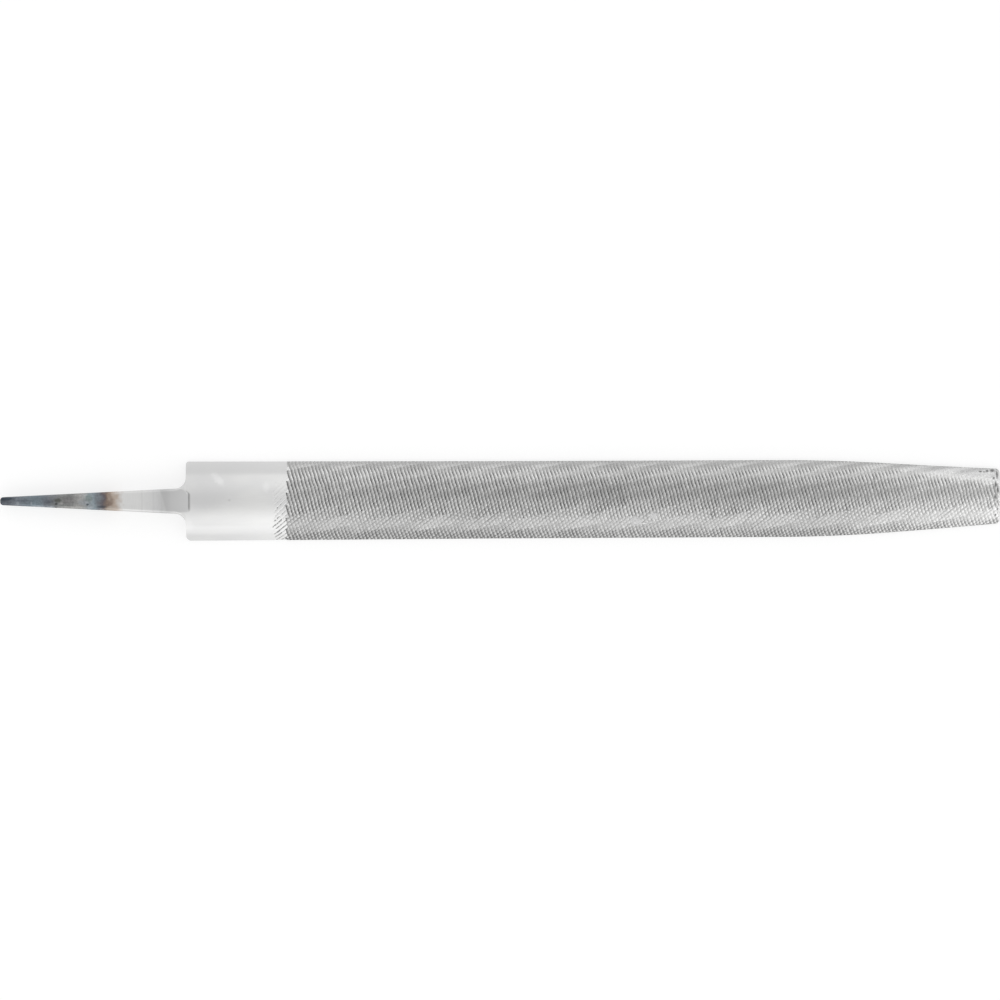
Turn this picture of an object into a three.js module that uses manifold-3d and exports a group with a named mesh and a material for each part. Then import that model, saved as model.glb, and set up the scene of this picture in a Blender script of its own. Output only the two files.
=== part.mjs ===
// A half round file with a bare tang, lying on its flat side.
// +X runs along the file to the point, +Y across it and +Z up through the round side.
// The origin is under the middle of the length, on the plane of the flat side.
// The real file is one forging. It is divided here into the zones that differ in form,
// finish or hardness: the tang, the ground heel, the toothed body and the toothed point.

import * as THREE from "three";
import { mergeVertices } from "three/addons/utils/BufferGeometryUtils.js";
import Module from "manifold-3d";

const wasm = await Module();
wasm.setup();

// Driving dimensions, in millimetres and degrees.

// Lengths along the file
const bladeLength = 250; // from the shoulder to the point, the size that files are sold by
const tangLength = 57.1;
const heelLength = 31; // uncut, from the shoulder to the first tooth
const taperLength = 68.8; // the last stretch of the blade, which narrows to the point

// Cross-section of the blade, flat below and round above
const shoulderWidth = 24.4;
const taperStartWidth = 23.7;
const pointWidth = 16.7;
const bladeThickness = 7.2; // from the flat side to the crown of the round side
const pointThickness = 5;
const edgeLand = 1; // upright strip along each long edge
const shoulderCornerRadius = 0.8;
const pointCornerRadius = 1.4;
const taperEaseShare = 0.49; // this share of the taper curves in, and the rest is straight

// Teeth of the main cut
const toothPitchAtHeel = 1.13;
const toothPitchAtPoint = 1.087;
const toothLean = 15; // away from square to the axis, along the unrolled surface
const toothDepthAtCrown = 0.45;
const toothDepthAtEdge = 0.25;
const toothDepthOnFlat = 0.3;
const toothFaceRun = 0.12; // how far the steep front of a tooth slopes along the file

// Tang, a rectangular spike with rounded edges
const tangRootWidth = 8.1; // where its straight sides would meet the shoulder
const tangTipWidth = 2.4;
const tangTipThickness = 2.2;
const tangTipHeight = 3.4; // height of the tip's middle over the flat side
const tangRootEdgeRadius = 0.9;
const tangTipEdgeRadius = 0.8;
const tangTipRoundShare = 0.75; // of the tip's edge radius
const rootFilletRadius = 3.2; // in plan, where the tang's sides run out into the shoulder

// Flat facet ground across the top of the tang's root, ending in a ramp up to the crown
const facetLength = 6.9; // on the tang, up to the shoulder
const facetReachIntoHeel = 0.8;
const facetWidth = 7.6; // where it cuts through the round side
const facetRampAngle = 34; // from the level

// Fineness of the curves
const toothedArcSteps = 8;
const smoothArcSteps = 28;
const taperSteps = 14;
const cornerSteps = 5;
const tangEdgeSteps = 4;
const tangTipSteps = 3;
const filletSteps = 8;

const cutOverrun = 2; // how far cutting shapes run past what they cut
const arcOverrunShare = 0.08; // how far the round surface runs past the edges before it is trimmed

// Stations along the file
const tangTipX = -(bladeLength + tangLength) / 2;
const pointX = -tangTipX;
const shoulderX = tangTipX + tangLength;
const cutStartX = shoulderX + heelLength;
const taperStartX = pointX - taperLength;

// What the cutting shapes have to reach past
const widest = Math.max(shoulderWidth, taperStartWidth, pointWidth);
const thickest = Math.max(bladeThickness, pointThickness);

const lerp = THREE.MathUtils.lerp;
const radians = THREE.MathUtils.degToRad;

// A list of count + 1 values that divide the way from start to end evenly.
function evenly(start, end, count) {
  return Array.from({ length: count + 1 }, (_, step) => lerp(start, end, step / count));
}

// How far the taper has gone at a station: it starts along a parabola and goes on straight.
function taperShareAt(x) {
  const run = Math.max((x - taperStartX) / taperLength, 0);
  const eased = (run * run) / (2 * taperEaseShare);
  const straight = run - taperEaseShare / 2;
  return (run < taperEaseShare ? eased : straight) / (1 - taperEaseShare / 2);
}

function widthAt(x) {
  const along = Math.min((x - shoulderX) / (taperStartX - shoulderX), 1);
  return lerp(lerp(shoulderWidth, taperStartWidth, along), pointWidth, taperShareAt(x));
}

function thicknessAt(x) {
  return lerp(bladeThickness, pointThickness, taperShareAt(x));
}

// The arc of the round side at a station, from edge to edge over the crown.
function roundArcAt(x) {
  const halfWidth = widthAt(x) / 2;
  const rise = thicknessAt(x) - edgeLand;
  const radius = (halfWidth ** 2 + rise ** 2) / (2 * rise);
  return { radius, centreZ: thicknessAt(x) - radius, halfAngle: Math.asin(halfWidth / radius) };
}

// Turns points and faces that share them into a solid.
function solidFromFaces(points, faces) {
  const vertProperties = new Float32Array(points.flatMap((point) => point.toArray()));
  const triangles = faces.flatMap((face) =>
    face.slice(2).flatMap((corner, index) => [face[0], face[index + 1], corner]),
  );
  const triVerts = new Uint32Array(triangles);
  return new wasm.Manifold(new wasm.Mesh({ numProp: 3, vertProperties, triVerts }));
}

// Turns a closed three.js geometry into a solid.
function solidFromGeometry(geometry) {
  geometry.deleteAttribute("normal");
  geometry.deleteAttribute("uv");
  const merged = mergeVertices(geometry);
  const vertProperties = new Float32Array(merged.attributes.position.array);
  const triVerts = new Uint32Array(merged.index.array);
  return new wasm.Manifold(new wasm.Mesh({ numProp: 3, vertProperties, triVerts }));
}

// A solid between an upper and a lower sheet of points. Both sheets have rows that follow each
// other along +X, each with its points in order along +Y.
function solidBetween(upperRows, lowerRows) {
  const rowCount = upperRows.length;
  const columnCount = upperRows[0].length;
  const sheetSize = rowCount * columnCount;
  const at = (row, column) => row * columnCount + column;
  const lowered = (index) => index + sheetSize;
  const faces = [];
  for (let row = 1; row < rowCount; row += 1) {
    for (let column = 1; column < columnCount; column += 1) {
      const near = [at(row - 1, column - 1), at(row, column - 1)];
      const far = [at(row, column), at(row - 1, column)];
      const face = [...near, ...far];
      faces.push(face, face.map(lowered).reverse());
    }
  }
  const rim = [];
  for (let row = 0; row < rowCount - 1; row += 1) rim.push(at(row, 0));
  for (let column = 0; column < columnCount - 1; column += 1) rim.push(at(rowCount - 1, column));
  for (let row = rowCount - 1; row > 0; row -= 1) rim.push(at(row, columnCount - 1));
  for (let column = columnCount - 1; column > 0; column -= 1) rim.push(at(0, column));
  rim.forEach((start, index) => {
    const end = rim[(index + 1) % rim.length];
    faces.push([lowered(start), lowered(end), end, start]);
  });
  return solidFromFaces([...upperRows.flat(), ...lowerRows.flat()], faces);
}

// A solid through rings of equally many points, each ring counterclockwise as seen from its end.
function solidThroughRings(rings) {
  const size = rings[0].length;
  const faces = [];
  for (let ring = 1; ring < rings.length; ring += 1) {
    for (let corner = 0; corner < size; corner += 1) {
      const next = (corner + 1) % size;
      const before = (ring - 1) * size;
      const after = ring * size;
      faces.push([before + corner, before + next, after + next, after + corner]);
    }
  }
  const firstCap = rings[0].map((_, corner) => corner);
  const lastStart = (rings.length - 1) * size;
  faces.push(firstCap.slice().reverse());
  faces.push(firstCap.map((corner) => corner + lastStart));
  return solidFromFaces(rings.flat(), faces);
}

// An upright solid over an outline in plan, taller than the file at both ends.
function uprightOver(outline) {
  const depth = thickest + 2 * cutOverrun;
  const shape = new THREE.Shape(outline);
  const geometry = new THREE.ExtrudeGeometry(shape, { depth, bevelEnabled: false });
  geometry.translate(0, 0, -cutOverrun);
  return solidFromGeometry(geometry);
}

// One row of points over the round side. A leaning row moves back along the file as it goes across.
function roundRow(place, steps, lean, depthShare) {
  const arcAtPlace = roundArcAt(place);
  return evenly(-1, 1, steps).map((across) => {
    const reach = across * (1 + arcOverrunShare);
    const x = place - Math.tan(lean) * arcAtPlace.radius * arcAtPlace.halfAngle * reach;
    const arc = roundArcAt(x);
    const depth = depthShare * lerp(toothDepthAtCrown, toothDepthAtEdge, across ** 2);
    const radius = arc.radius - depth;
    const angle = arc.halfAngle * reach;
    return new THREE.Vector3(x, radius * Math.sin(angle), arc.centreZ + radius * Math.cos(angle));
  });
}

// A row of two points across the flat side. It leans the same way when that side is turned up.
function flatRow(place, lean, depthShare) {
  const halfSpan = widest / 2 + cutOverrun;
  const height = depthShare * toothDepthOnFlat;
  return [-halfSpan, halfSpan].map((y) => new THREE.Vector3(place + Math.tan(lean) * y, y, height));
}

// The round side as a solid that runs on below the flat side.
function roundSolid(rows) {
  const below = rows.map((row) => row.map((point) => point.clone().setZ(-cutOverrun)));
  return solidBetween(rows, below);
}

// The flat side as a solid that runs on above the round side.
function flatSolid(rows) {
  const top = thickest + cutOverrun;
  const above = rows.map((row) => row.map((point) => point.clone().setZ(top)));
  return solidBetween(above, rows);
}

// A stretch of the bar as it is ground, without teeth. It runs past both stations.
function smoothBar(startX, endX) {
  const stations = [startX - cutOverrun, endX + cutOverrun];
  const round = roundSolid(stations.map((x) => roundRow(x, smoothArcSteps, 0, 0)));
  const flat = flatSolid(stations.map((x) => flatRow(x, 0, 0)));
  return round.intersect(flat);
}

// Where the edges of the teeth cross the middle of a side, and where the gullets before them do.
function toothStations() {
  const halfArc = roundArcAt(cutStartX).radius * roundArcAt(cutStartX).halfAngle;
  const leanReach = Math.tan(radians(toothLean)) * halfArc * (1 + arcOverrunShare);
  const margin = leanReach + toothPitchAtHeel + toothFaceRun;
  const stations = [];
  let x = cutStartX - margin;
  while (x < pointX + margin) {
    stations.push({ x, depthShare: 0 });
    stations.push({ x: x + toothFaceRun, depthShare: 1 });
    const along = (x - cutStartX) / (pointX - cutStartX);
    x += lerp(toothPitchAtHeel, toothPitchAtPoint, along);
  }
  return stations;
}

// A toothed bar: each tooth has a long back that rises to its edge, and then a steep front.
function toothedBar() {
  const lean = radians(toothLean);
  const stations = toothStations();
  const round = stations.map(({ x, depthShare }) => roundRow(x, toothedArcSteps, lean, depthShare));
  const flat = stations.map(({ x, depthShare }) => flatRow(x, lean, depthShare));
  return roundSolid(round).intersect(flatSolid(flat));
}

// Points of a quarter turn about a centre in plan.
function quarterTurn(centreX, centreY, radius, startAngle, steps) {
  return evenly(startAngle, startAngle - Math.PI / 2, steps).map(
    (angle) => new THREE.Vector2(centreX + radius * Math.cos(angle), centreY + radius * Math.sin(angle)),
  );
}

// Closes an outline whose +Y side is given, in order along +X, with its mirror image.
function mirroredOutline(side) {
  const otherSide = side.map(({ x, y }) => new THREE.Vector2(x, -y));
  return [...otherSide, ...side.slice().reverse()];
}

function heelOutline() {
  const radius = shoulderCornerRadius;
  const cornerX = shoulderX + radius;
  const corner = quarterTurn(cornerX, widthAt(cornerX) / 2 - radius, radius, Math.PI, cornerSteps);
  return mirroredOutline([...corner, new THREE.Vector2(cutStartX, widthAt(cutStartX) / 2)]);
}

function bodyOutline() {
  const ends = [cutStartX, taperStartX];
  return mirroredOutline(ends.map((x) => new THREE.Vector2(x, widthAt(x) / 2)));
}

function pointOutline() {
  const radius = pointCornerRadius;
  const cornerX = pointX - radius;
  const stations = evenly(taperStartX, cornerX, taperSteps).slice(0, -1);
  const edge = stations.map((x) => new THREE.Vector2(x, widthAt(x) / 2));
  const corner = quarterTurn(cornerX, widthAt(cornerX) / 2 - radius, radius, Math.PI / 2, cornerSteps);
  return mirroredOutline([...edge, ...corner]);
}

// The level of the facet: where the round side of the heel is as wide as the facet.
function facetLevel() {
  const arc = roundArcAt(shoulderX);
  return arc.centreZ + Math.sqrt(arc.radius ** 2 - (facetWidth / 2) ** 2);
}

// What is ground away over the facet and its ramp, as a profile that runs across the file.
function facetCut() {
  const level = facetLevel();
  const top = thickest + cutOverrun;
  const rampX = shoulderX + facetReachIntoHeel;
  const profile = new THREE.Shape();
  profile.moveTo(tangTipX - cutOverrun, level);
  profile.lineTo(rampX, level);
  profile.lineTo(rampX + (top - level) / Math.tan(radians(facetRampAngle)), top);
  profile.lineTo(tangTipX - cutOverrun, top);
  const depth = widest + 2 * cutOverrun;
  const geometry = new THREE.ExtrudeGeometry(profile, { depth, bevelEnabled: false });
  geometry.rotateX(Math.PI / 2);
  geometry.translate(0, depth / 2, 0);
  return solidFromGeometry(geometry);
}

// One ring of the tang: a rectangle with rounded corners, drawn in all round by an inset.
function tangRing(x, inset) {
  const along = (x - tangTipX) / tangLength;
  const alongToFacet = (x - tangTipX) / (tangLength - facetLength);
  const right = lerp(tangTipWidth, tangRootWidth, along) / 2 - inset;
  const top = lerp(tangTipHeight + tangTipThickness / 2, facetLevel(), alongToFacet) - inset;
  const bottom = lerp(tangTipHeight - tangTipThickness / 2, 0, along) + inset;
  const radius = lerp(tangTipEdgeRadius, tangRootEdgeRadius, along) - inset;
  const corners = [
    { y: right - radius, z: bottom + radius, turn: -Math.PI / 2 },
    { y: right - radius, z: top - radius, turn: 0 },
    { y: radius - right, z: top - radius, turn: Math.PI / 2 },
    { y: radius - right, z: bottom + radius, turn: Math.PI },
  ];
  return corners.flatMap(({ y, z, turn }) =>
    evenly(turn, turn + Math.PI / 2, tangEdgeSteps).map(
      (angle) => new THREE.Vector3(x, y + radius * Math.cos(angle), z + radius * Math.sin(angle)),
    ),
  );
}

// The tapered spike, from its rounded tip to the plane of the shoulder.
function tangSpike() {
  const roundRadius = tangTipEdgeRadius * tangTipRoundShare;
  const tipRings = evenly(0, Math.PI / 2, tangTipSteps).map((angle) =>
    tangRing(tangTipX + roundRadius * (1 - Math.cos(angle)), roundRadius * (1 - Math.sin(angle))),
  );
  return solidThroughRings([...tipRings, tangRing(shoulderX, 0)]);
}

// The full height of the bar beside the tang's root, drawn in to the tang by a hollow fillet.
function rootFillets() {
  const radius = rootFilletRadius;
  const startX = shoulderX - radius;
  const tangHalfWidth = lerp(tangTipWidth, tangRootWidth, (startX - tangTipX) / tangLength) / 2;
  const fillet = quarterTurn(startX, tangHalfWidth + radius, radius, 0, filletSteps).reverse();
  const bar = smoothBar(startX, shoulderX);
  return bar.intersect(uprightOver(mirroredOutline(fillet)));
}

function tangSolid() {
  return tangSpike().add(rootFillets()).subtract(facetCut());
}

function heelSolid() {
  const bar = smoothBar(shoulderX, cutStartX).intersect(uprightOver(heelOutline()));
  return bar.subtract(facetCut());
}

function steel(color, roughness) {
  return new THREE.MeshStandardMaterial({ color, roughness, metalness: 1 });
}

function zoneMesh(name, solid, material) {
  const { vertProperties, triVerts } = solid.getMesh();
  const geometry = new THREE.BufferGeometry();
  geometry.setAttribute("position", new THREE.BufferAttribute(vertProperties, 3));
  geometry.setIndex(new THREE.BufferAttribute(triVerts, 1));
  const faceted = geometry.toNonIndexed();
  faceted.computeVertexNormals();
  const mesh = new THREE.Mesh(faceted, material);
  mesh.name = name;
  return mesh;
}

function buildFile() {
  const toothed = toothedBar();
  const body = toothed.intersect(uprightOver(bodyOutline()));
  const point = toothed.intersect(uprightOver(pointOutline()));
  const file = new THREE.Group();
  file.add(
    zoneMesh("tang", tangSolid(), steel("#59616b", 0.5)),
    zoneMesh("heel", heelSolid(), steel("#dcdcda", 0.35)),
    zoneMesh("body", body, steel("#b4b4b2", 0.4)),
    zoneMesh("point", point, steel("#bababa", 0.4)),
  );
  return file;
}

export default buildFile();
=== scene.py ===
"""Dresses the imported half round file: a heat-coloured tang, a ground heel and a blade whose teeth
are cut by two crossing rows of chisel strokes. Lengths are in metres, in the frame of the model:
+X runs to the point, +Y across the file and +Z up through the round side."""

import math

import bmesh
import bpy
import numpy as np
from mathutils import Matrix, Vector


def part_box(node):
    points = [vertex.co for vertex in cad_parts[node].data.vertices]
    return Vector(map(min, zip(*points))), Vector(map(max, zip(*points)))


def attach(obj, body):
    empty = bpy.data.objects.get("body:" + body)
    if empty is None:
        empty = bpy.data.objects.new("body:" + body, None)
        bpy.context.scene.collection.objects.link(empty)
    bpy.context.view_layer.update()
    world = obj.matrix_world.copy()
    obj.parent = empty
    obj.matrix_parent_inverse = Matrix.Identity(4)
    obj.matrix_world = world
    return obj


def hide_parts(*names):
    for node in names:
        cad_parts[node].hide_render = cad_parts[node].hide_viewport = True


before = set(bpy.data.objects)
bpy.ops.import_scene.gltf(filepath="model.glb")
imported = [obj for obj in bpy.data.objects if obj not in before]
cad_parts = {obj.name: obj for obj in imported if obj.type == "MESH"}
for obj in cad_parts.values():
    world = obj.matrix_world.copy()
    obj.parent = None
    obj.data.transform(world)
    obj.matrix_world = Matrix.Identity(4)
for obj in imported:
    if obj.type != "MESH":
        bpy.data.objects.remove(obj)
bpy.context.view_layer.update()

MM = 0.001
SEED = 9


def mm(*lengths):
    """Millimetres in metres."""
    return tuple(length * MM for length in lengths)


# Stations along the file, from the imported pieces
TIP_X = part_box("tang")[0].x
SHOULDER_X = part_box("heel")[0].x
CUT_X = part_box("heel")[1].x
TAPER_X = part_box("point")[0].x
END_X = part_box("point")[1].x

# Cross-section of the blade
SHOULDER_WIDTH = 24.35 * MM
WAIST_WIDTH = 23.72 * MM
WAIST_X = 0
WAIST_TO_TAPER = TAPER_X - WAIST_X
TAPER_WIDTH = 23.6 * MM
END_WIDTH = 16.7 * MM
BLADE_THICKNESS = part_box("heel")[1].z
END_THICKNESS = 5 * MM
EDGE_LAND = 1 * MM
UPPER_SHOULDER_CORNER = 0.8 * MM
LOWER_SHOULDER_CORNER = 1.5 * MM
END_CORNER = 1.4 * MM
END_ROUND = 0.5 * MM
TAPER_EASE_SHARE = 0.49
POINT_BOW = 0.48 * MM
TANG_BOW = 0.26 * MM

# Facet ground across the tang's root, which ends in a step in the heel
FACET_WIDTH = 7.6 * MM
FACET_LENGTH = 6.9 * MM
FACET_REACH = 0.65 * MM
FACET_STEP_RUN = 0.85 * MM
FACET_SLOPE = 0.012
FACET_TILT = -0.009

# How the step is cut back at its two ends: where that starts, its width, and how far it goes
FACET_UPPER_CORNER = mm(1.9, 2.1, 2.7)
FACET_LOWER_CORNER = mm(2.7, 1.1, 0.7)

# The painted shade along the step: where it fades out to the sides, and where it lies on the step's
# run
STEP_SHADE = mm(2.2, 3.5)
STEP_START_SHARE = 0.05
STEP_RISE_SHARE = 0.25
STEP_FALL_SHARE = 0.6

# Tang
TANG_LENGTH = SHOULDER_X - TIP_X
TANG_ROOT_WIDTH = 8.1 * MM
TANG_TIP_WIDTH = 2.4 * MM
TANG_TIP_THICKNESS = 2.2 * MM
TANG_TIP_HEIGHT = 3.4 * MM
TANG_ROOT_EDGE = 0.9 * MM
TANG_TIP_EDGE = 0.8 * MM
TANG_LEAST_EDGE = 0.1 * MM
TANG_MOST_EDGE_SHARE = 0.9
TANG_EDGE_LOSS_SHARE = 0.75
TANG_TIP_ROUND = 0.6 * MM
TANG_TIP_CORNER = 0.95 * MM
ROOT_FILLET = 3.2 * MM
FACET_BLEND = 0.02 * MM

# Teeth: the main cut, and the first and shallower cut that crosses it
PITCH_AT_HEEL = 1.13 * MM
PITCH_AT_END = 1.087 * MM
LEAN = math.tan(math.radians(15))
LEAN_SPARE_SHARE = 1.08
LEAN_STEPS = 4
DEPTH_AT_CROWN = 0.45 * MM
DEPTH_AT_EDGE = 0.25 * MM
DEPTH_ON_FLAT = 0.3 * MM
FRONT_RUN = 0.12 * MM
FRONT_SHARE = FRONT_RUN / PITCH_AT_HEEL
TOOTH_SHARES = (0, FRONT_SHARE, 0.2, 0.45, 0.78)
TOOTH_DEPTH_SHARES = (0, 0.86, 1, 0.72, 0.3)
FIRST_TOOTH_SHARE = 0.7
POINT_DEPTH_LOSS_SHARE = 0.25
CROSSING_DEPTH_SHARE = 0.4

# How deep the main cut bites, from the lower edge at -1 to the upper edge at 1
BITE_PLACES = (-1, -0.83, -0.64, -0.5, -0.38, -0.25, 0.3, 0.5, 0.64, 0.83, 0.95, 1.1)
BITE_SHARES = (1.05, 0.95, 0.55, 0.47, 0.67, 0.88, 0.92, 1.1, 1.2, 1, 0.75, 0.65)
STRIP_BLEND_SHARE = 0.4

# A cut that bites less than this share leaves the steel smoother, up to a limit
FULL_BITE_SHARE = 0.85
MOST_SMOOTH = 1.6

# Painted light and painted shade across the round side, from the lower edge to the upper edge
PAINTED_LIGHT_PLACES = (-1, -0.8, -0.55, -0.2, 0.15, 0.35, 0.55, 0.68, 0.8, 1)
PAINTED_LIGHT_SHARES = (0.5, 0.38, 0.2, 0.36, 0.28, 0.36, 0.71, 0.7, 0.43, -0.1)
# Painted light that grows towards the point
POINT_PAINTED_LIGHT = 0.55

# Painted shade in a band above the middle line, except near the heel
PAINTED_SHADE_SIDES = (-0.25, 0.1, 0.3, 0.45, 0.58)
PAINTED_SHADE_SIDE_SHARES = (0, 1, 1, 0.5, 0)
PAINTED_SHADE_PLACES = mm(-50, 20, 80, 130)
PAINTED_SHADE_SHARES = (-0.06, 0.15, 0.16, 0.03)

# Painted light in a band below the middle line, which grows towards the point
PAINTED_GLEAM_SIDES = (-0.6, -0.4, -0.15, 0.1)
PAINTED_GLEAM_SIDE_SHARES = (0, 1, 1, 0)
PAINTED_GLEAM_PLACES = mm(0, 90, 130)
PAINTED_GLEAM_SHARES = (0, 0.14, 0.17)

# Painted light on both edges, which grows from the waist towards the point
NEAR_EDGE_PAINTED_LIGHT_SIDES = (0.5, 0.75)
NEAR_EDGE_PAINTED_LIGHT_SHARES = (0, 0.14)
NEAR_EDGE_PAINTED_LIGHT_LIMIT = 1.5

# Each chisel strip has a smooth grey streak along its upper part, which also gets painted shade, and
# painted light along its lower part
STREAK_ACROSS = (0, 0.06, 0.2, 0.32, 0.45, 0.57, 0.7, 0.85, 0.94)
STREAK_ACROSS_SHARES = (0.6, 0.4, 0.08, 0, 0.2, 0.6, 1, 1, 0.85)
STREAK_SIDES = (-0.4, 0.45, 0.62, 0.8, 0.95)
STREAK_SIDE_LOSSES = (0.12, 0.14, 0.5, 0.5, 0.4)
STREAK_PLACES = mm(-60, 0, 80)
STREAK_PLACE_SHARES = (0.4, 0.85, 1.2)
STREAK_PAINTED_SHADE = 0.8
STRIP_PAINTED_LIGHT = 0.1
STRIP_PAINTED_LIGHT_AT = 0.08
STRIP_PAINTED_LIGHT_SIDES = (-0.5, -0.2, 0.25, 0.7, 0.9)
STRIP_PAINTED_LIGHT_SIDE_SHARES = (0, 0.4, 1, 1, 0.3)

# The cut fades out towards the upper edge, more so near the point
FADE_PLACES = mm(115, 122, 129, 138, 147, 153)
FADE_STARTS = (0.79, 0.76, 0.64, 0.5, 0.38, 0.32)
FADE_RUNS = (0.08, 0.1, 0.2, 0.3, 0.32, 0.34)
FADE_LOSSES = (0.45, 0.7, 0.92, 0.95, 0.95, 0.95)
FADE_SMOOTH = 0.9

# Worn and deeper places: centre along and across, half size, loss of depth and smoothness
WORN_PLACES = (
    (mm(41.7, -7.2), mm(1.5, 1.5), 0.9, 1.6),
    (mm(47.1, -5.2), mm(1.1, 1.1), 0.7, 1.4),
    (mm(44, -7.9), mm(1.3, 0.3), 0.6, 0),
    (mm(46.5, -7.4), mm(1.2, 0.3), 0.6, 0),
    (mm(65.5, -4.6), mm(0.9, 1.9), -0.22, 0),
)
WORN_REACH_SHARE = 1.3
WORN_FADE_SHARE = 0.6

# The crossing cut
CROSS_PITCH = 1.146 * MM
CROSS_ANGLE = math.radians(43.8)
CROSS_DEPTH = 0.25 * MM
CROSS_OVERRUN = 5.6 * MM
CROSS_START_X = CUT_X - CROSS_OVERRUN
CROSS_SHARES = (0, 0.2, 0.45, 0.74, 0.88)
CROSS_DEPTH_SHARES = (1, 0.6, 0.16, -0.2, 0.15)
CROSS_PLACES = (-1, -0.75, -0.6, -0.35, 0, 0.4, 1)
CROSS_SIDE_SHARES = (1.2, 1.1, 0.8, 1.1, 0.9, 0.45, 0.15)
CROSS_OFFSET_SHARE = 0.25
POINT_CROSS_LOSS_SHARE = 0.3
FLAT_CROSS_SHARE = 0.7
# Painted light on the flat side
FLAT_PAINTED_LIGHT = 0.35

# Where the crossing cut runs over into the heel, it is deepest at the lower edge
OVER_CUT_SIDES = (-1, -0.5, 0.32, 0.7, 0.8)
OVER_CUT_SHARES = (0.95, 0.9, 0.24, 0.24, 0)
OVER_CUT_LIMIT_SHARE = 1.6

# There its strokes start raggedly, a few starts to a strip, and are broken into short lengths
RAGGED_RUN = 2.5 * MM
RAGGED_MIDDLE_SHARE = 0.4
RAGGED_STARTS = 3
BEGIN_RUN = 0.8 * MM
BROKEN_WIDTH = 0.4 * MM
BROKEN_LENGTH = 0.5 * MM
BROKEN_GAIN = 2
BROKEN_LOSS = 0.8

# The chisel cuts the round side in strips, each a little flat
STRIP_WIDTH = 3.75 * MM
STRIP_ANGLE = math.radians(14.4)
STRIP_PHASE = 0.04
STRIP_FLAT = 0.1 * MM
STRIP_BEND = 0.045 * MM
BEND_PHASE = 0.2

# How uneven the strokes are, in depth and in place
STRIPS = 120
CROSS_ROWS = 4 * STRIPS
STROKE_DEPTH_SHARES = (0.88, 1.06)
CROSS_STROKE_SHARES = (0.65, 1.05)
STROKE_SHIFT = 0.06 * MM
WAVER = 0.12 * MM
WAVES = 9
SHORTEST_WAVE = 6 * MM
POINT_UNEVEN_SHARE = 0.8
HOLD_RUN = 0.4 * MM

# The end of the point is rounded almost to a right angle, and its face is plain
END_ROUND_SHARE = 0.98
END_DEPTH_SHARE = 0.25

# The round and the flat half of the blade meet at this level
BASE_Z = 0.5 * MM

# Grids: their columns, and the steps between their rows
ROUND_COLUMNS = 132
FLAT_COLUMNS = 96
HEEL_COLUMNS = 181
SHOULDER_ROWS = 16
FINE_STEP = 0.05 * MM
RAMP_STEP = 0.06 * MM
RAMP_LENGTH = 1.2 * MM
PLAIN_STEP = 0.5 * MM
CROSSED_STEP = 0.11 * MM
TIP_ROWS = 14
TIP_GAP = 0.4 * MM
ROOT_STEP = 0.15 * MM
ROOT_GAP = 0.3 * MM
ROOT_LEAD = 1 * MM
TANG_SIDE_STEPS = 30
TANG_CORNER_STEPS = 7

# Points closer than this become one, and edges past this angle stay sharp
MERGE = 0.001 * MM
SHARP_ANGLE = math.radians(28)

# Tiny steps that keep rounding from putting the edge of a tooth into the tooth before it
TOOTH_NUDGE = 1e-7
STROKE_NUDGE = 1e-6

# The heel's long edges: how far in and how far up the rows of their small round lie
EDGE_ROUND = 0.15 * MM
EDGE_INSET_SHARES = (0, 0, 0.3, 1)
EDGE_LIFT_SHARES = (1.8, 1, 0.3, 0)


# Cross-sections

def taper_share(x):
    run = np.maximum((x - TAPER_X) / (END_X - TAPER_X), 0)
    eased = run * run / (2 * TAPER_EASE_SHARE)
    straight = run - TAPER_EASE_SHARE / 2
    return np.where(run < TAPER_EASE_SHARE, eased, straight) / (1 - TAPER_EASE_SHARE / 2)


def half_width(x):
    """Half the blade's width without its rounded corners."""
    widths = (SHOULDER_WIDTH, WAIST_WIDTH, TAPER_WIDTH)
    straight = np.interp(x, (SHOULDER_X, WAIST_X, TAPER_X), widths)
    return (straight + (END_WIDTH - straight) * taper_share(x)) / 2


def bow(x):
    """How far forging and hardening have drawn the point and the tang off the middle line."""
    to_point = np.maximum((x - TAPER_X) / (END_X - TAPER_X), 0)
    to_tip = np.maximum((SHOULDER_X - x) / TANG_LENGTH, 0)
    return POINT_BOW * to_point**3 + TANG_BOW * to_tip


def cornered_half_width(x, shoulder_corner=UPPER_SHOULDER_CORNER):
    """Half the blade's width with its rounded corners in plan."""
    into_shoulder = np.clip(SHOULDER_X + shoulder_corner - x, 0, shoulder_corner)
    into_end = np.clip(x - END_X + END_CORNER, 0, END_CORNER)
    lost_at_shoulder = shoulder_corner - np.sqrt(shoulder_corner**2 - into_shoulder**2)
    lost_at_end = END_CORNER - np.sqrt(END_CORNER**2 - into_end**2)
    return half_width(x) - lost_at_shoulder - lost_at_end


def thickness(x):
    return BLADE_THICKNESS + (END_THICKNESS - BLADE_THICKNESS) * taper_share(x)


def round_arc(x):
    """Radius, height of the centre and half angle of the round side at a station."""
    half = half_width(x)
    rise = thickness(x) - EDGE_LAND
    radius = (half**2 + rise**2) / (2 * rise)
    return radius, thickness(x) - radius, np.arcsin(half / radius)


def half_arc_length(x):
    radius, _, half_angle = round_arc(x)
    return radius * half_angle


def facet_level():
    radius, centre_z, _ = round_arc(SHOULDER_X)
    return centre_z + math.sqrt(radius**2 - (FACET_WIDTH / 2) ** 2)


FACET_Z = facet_level()


def cut_back(side, start, width, reach):
    return np.clip((side - start) / width, 0, 1) ** 2 * reach


def past_facet(x, y):
    """How far a point is up the step at the end of the facet, as a share of the step's run."""
    corner = cut_back(y, *FACET_UPPER_CORNER) + cut_back(-y, *FACET_LOWER_CORNER)
    return np.maximum(x - SHOULDER_X - FACET_REACH + corner, 0) / FACET_STEP_RUN


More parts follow.
